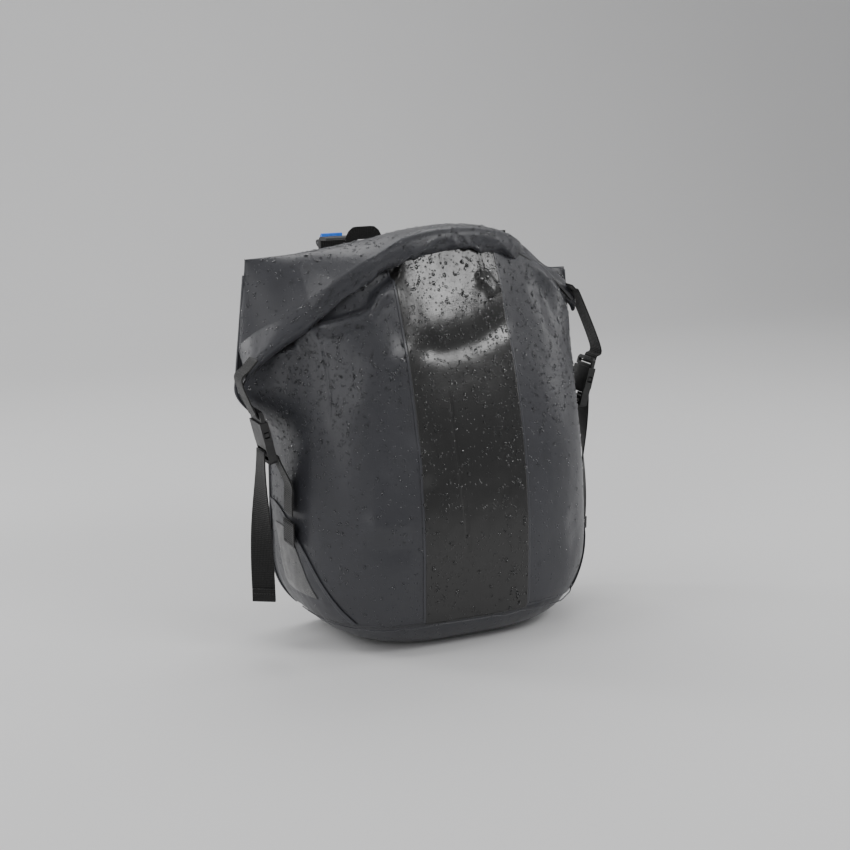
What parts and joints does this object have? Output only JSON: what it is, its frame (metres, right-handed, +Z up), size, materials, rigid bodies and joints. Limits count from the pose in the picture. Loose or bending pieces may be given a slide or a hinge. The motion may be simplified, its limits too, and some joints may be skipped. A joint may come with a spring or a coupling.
{
  "type": "pannier bag",
  "caption": "Tapered roll-top pannier bag of coated fabric with a contrasting centre stripe, side-release buckles, and a rack rail with sliding hooks and release levers",
  "frame": {"origin": "centre of the rack rail's rear face", "axes": "+X towards the front of the bicycle, +Y towards the wheel and rack, +Z up"},
  "size_m": [0.4465, 0.195, 0.4418],
  "materials": {
    "grey_fabric": "satin coated fabric",
    "stripe_fabric": "glossy coated fabric",
    "weld_tape": "satin",
    "reflective_patch": "satin",
    "webbing": "matt woven",
    "black_plastic": "satin grained",
    "board": "matt",
    "steel": "satin",
    "blue_plastic": "satin",
    "grey_plastic": "matt"
  },
  "bodies": {
    "bag": {"back_board": "board", "back_panel": "grey_fabric", "bottom_board": "board", "bottom_panel": "grey_fabric", "bottom_seam_tape": "weld_tape", "carry_handle": "webbing", "centre_stripe": "stripe_fabric", "front_gusset": "grey_fabric", "front_panel_left": "grey_fabric", "front_panel_right": "grey_fabric", "left_anchor_patch": "black_plastic", "left_side_strap": "webbing", "lower_rail": "black_plastic", "lower_rail_cap_front": "black_plastic", "lower_rail_cap_rear": "black_plastic", "lower_rail_screw_1": "steel", "lower_rail_screw_2": "steel", "rack_rail": "black_plastic", "rack_rail_cap_front": "black_plastic", "rack_rail_cap_rear": "black_plastic", "rack_rail_screw_1": "steel", "rack_rail_screw_2": "steel", "rack_rail_screw_3": "steel", "rack_rail_screw_4": "steel", "rear_gusset": "grey_fabric", "reflector_left": "reflective_patch", "reflector_right": "reflective_patch", "right_anchor_patch": "black_plastic", "right_side_strap": "webbing", "side_flap_left": "grey_fabric", "side_flap_right": "grey_fabric", "stripe_weld_left": "weld_tape", "stripe_weld_right": "weld_tape"},
    "roll_top": {"neck_panel": "grey_fabric", "rolled_closure": "grey_fabric", "mouth_stiffener": "black_plastic", "left_roll_tab": "webbing", "right_roll_tab": "webbing", "left_buckle_male": "black_plastic", "right_buckle_male": "black_plastic"},
    "buckle_left": {"left_buckle_female": "black_plastic"},
    "buckle_right": {"right_buckle_female": "black_plastic"},
    "tail_left": {"left_strap_tail": "webbing", "left_strap_hem": "webbing"},
    "tail_right": {"right_strap_tail": "webbing", "right_strap_hem": "webbing"},
    "hook_body_left": {"hook_left": "black_plastic", "hook_insert_left": "grey_plastic", "lever_pin_left": "steel", "lever_spring_left": "steel"},
    "hook_body_right": {"hook_right": "black_plastic", "hook_insert_right": "grey_plastic", "lever_pin_right": "steel", "lever_spring_right": "steel"},
    "lever_body_left": {"lever_left": "blue_plastic"},
    "lever_body_right": {"lever_right": "blue_plastic"},
    "slider": {"lower_slider": "black_plastic", "lower_screw": "steel"},
    "strut_hook": {"lower_hook": "black_plastic"}
  },
  "joints": [
    {"name": "roll_top_opening", "type": "hinge", "parent": "bag", "child": "roll_top", "pos_m": [0, -0.008, 0.0143], "axis": [-1, 0, 0], "range_deg": [0, 50], "deforming": ["left_buckle_male", "right_buckle_male", "carry_handle", "left_roll_tab", "right_roll_tab"]},
    {"name": "buckle_left_release", "type": "slide", "parent": "bag", "child": "buckle_left", "axis": [0.2419, 0, -0.9703], "range_m": [0, 0.024], "deforming": ["left_side_strap"]},
    {"name": "buckle_right_release", "type": "slide", "parent": "bag", "child": "buckle_right", "axis": [-0.2419, 0, -0.9703], "range_m": [0, 0.024], "deforming": ["right_side_strap"]},
    {"name": "tail_left_swing", "type": "hinge", "parent": "buckle_left", "child": "tail_left", "pos_m": [-0.20937, -0.07, -0.17637], "axis": [0, 1, 0], "range_deg": [0, 60]},
    {"name": "tail_right_swing", "type": "hinge", "parent": "buckle_right", "child": "tail_right", "pos_m": [0.19837, -0.038, -0.16137], "axis": [0, -1, 0], "range_deg": [0, 60]},
    {"name": "hook_left_slide", "type": "slide", "parent": "bag", "child": "hook_body_left", "axis": [1, 0, 0], "range_m": [-0.013, 0.06]},
    {"name": "hook_right_slide", "type": "slide", "parent": "bag", "child": "hook_body_right", "axis": [1, 0, 0], "range_m": [-0.06, 0.019]},
    {"name": "lever_left_release", "type": "hinge", "parent": "hook_body_left", "child": "lever_body_left", "pos_m": [-0.086, 0.0314, 0.022], "axis": [1, 0, 0], "range_deg": [0, 16], "stiffness_Nm_per_rad": 0.2, "springref_deg": -17.19, "deforming": ["lever_spring_left"]},
    {"name": "lever_right_release", "type": "hinge", "parent": "hook_body_right", "child": "lever_body_right", "pos_m": [0.08, 0.0314, 0.022], "axis": [1, 0, 0], "range_deg": [0, 16], "stiffness_Nm_per_rad": 0.2, "springref_deg": -17.19, "deforming": ["lever_spring_right"]},
    {"name": "strut_hook_slide", "type": "slide", "parent": "bag", "child": "slider", "axis": [1, 0, 0], "range_m": [-0.09, 0.034]},
    {"name": "strut_hook_turn", "type": "hinge", "parent": "slider", "child": "strut_hook", "pos_m": [0.03, 0.0068, -0.235], "axis": [0, 1, 0], "range_deg": [-90, 90]}
  ]
}
